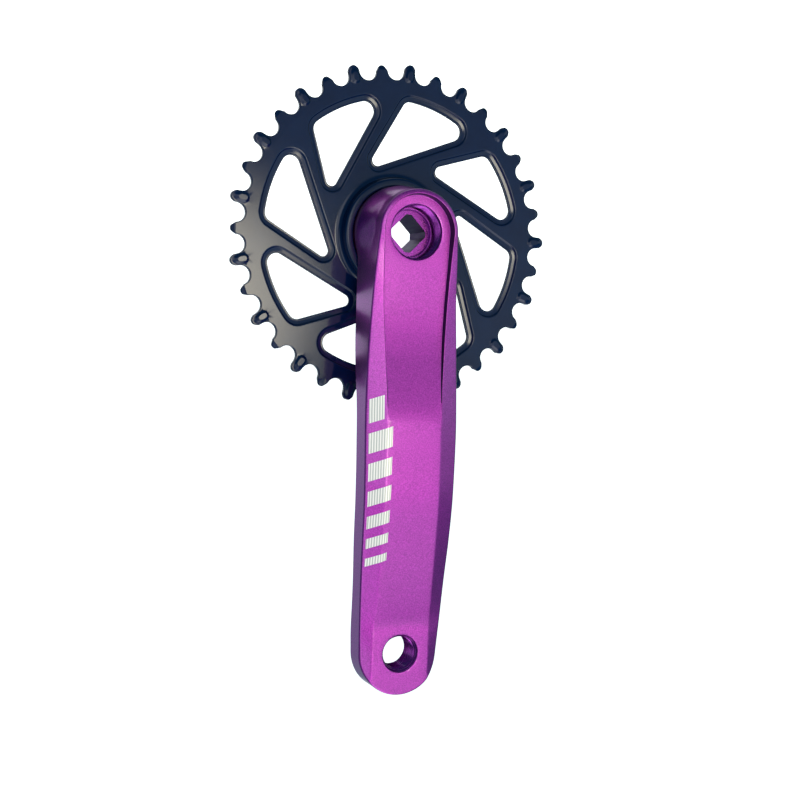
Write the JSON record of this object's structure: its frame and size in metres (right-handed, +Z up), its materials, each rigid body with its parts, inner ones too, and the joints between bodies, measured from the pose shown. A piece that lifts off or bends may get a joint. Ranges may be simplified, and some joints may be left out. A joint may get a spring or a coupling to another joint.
{
  "type": "bicycle crankset",
  "caption": "Drive-side bicycle crank arm with a square-taper socket and a direct-mount narrow-wide chainring with swirled windows.",
  "frame": {"origin": "on the spindle axis, at the inboard end face of the arm's splined spigot", "axes": "+X forward across the arm, +Y inboard along the spindle axis (towards the bicycle's frame), +Z up; the arm hangs straight down, so the pedal axis is at Z -170 mm"},
  "size_m": [0.1411, 0.035, 0.2578],
  "materials": {
    "purple_anodised_aluminium": "bead-blasted and dyed purple anodising, satin",
    "black_anodised_aluminium": "polished and dyed black anodising, glossy",
    "black_steel": "black oxide, satin"
  },
  "bodies": {
    "root": {"crank_arm": "purple_anodised_aluminium", "chainring": "black_anodised_aluminium", "chainring_screw_1": "black_steel", "chainring_screw_2": "black_steel", "chainring_screw_3": "black_steel"}
  },
  "joints": []
}
